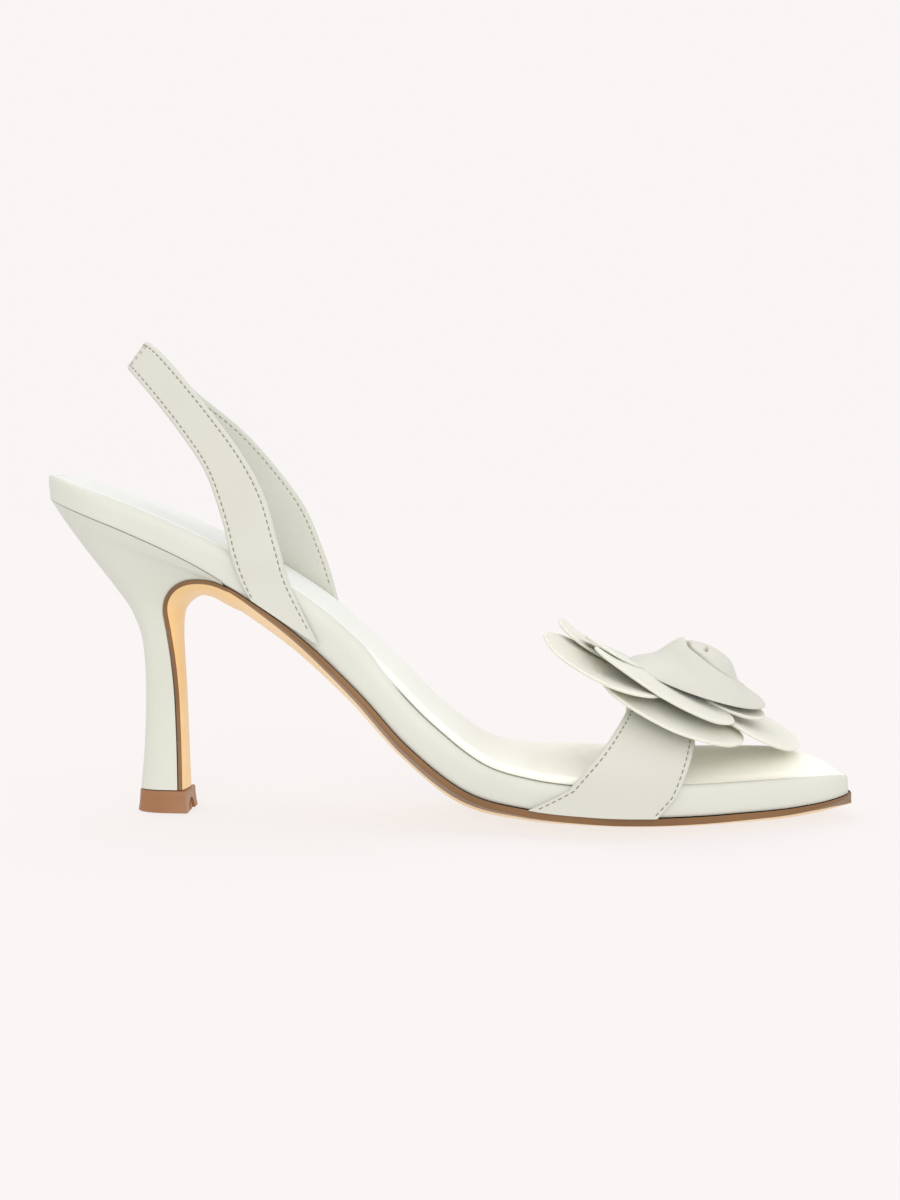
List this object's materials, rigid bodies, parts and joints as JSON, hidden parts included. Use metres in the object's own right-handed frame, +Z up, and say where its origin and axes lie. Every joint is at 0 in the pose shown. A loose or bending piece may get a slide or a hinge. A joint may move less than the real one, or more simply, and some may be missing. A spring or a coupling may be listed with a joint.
{
  "type": "high heel",
  "caption": "Women's slingback sandal for the right foot: slim flared high heel, leather sling and vamp straps, and a leather flower on the forefoot.",
  "frame": {"origin": "on the floor, under the middle of the shoe's box", "axes": "+X from heel to toe, +Y towards the inner side of the foot, +Z up"},
  "size_m": [0.2332, 0.079, 0.1374],
  "materials": {
    "outsole": "smooth tan sole leather with a brown waxed edge",
    "heel_cover": "smooth satin white leather stretched over the heel block",
    "heel_tip": "satin brown moulded plastic",
    "insole_cover": "smooth satin white leather",
    "sock_lining": "soft matt cream white lining leather, lightly padded",
    "strap_leather": "fine-grained satin white leather with turned edges and stitching",
    "flower_leather": "fine-grained satin white leather, cut petals"
  },
  "bodies": {
    "root": {"outsole": "outsole", "heel": "heel_cover", "heel_tip": "heel_tip", "insole": "insole_cover", "sock": "sock_lining", "vamp_strap": "strap_leather", "sling_strap": "strap_leather", "outer_petals": "flower_leather", "inner_petals": "flower_leather", "bud": "flower_leather"}
  },
  "joints": []
}
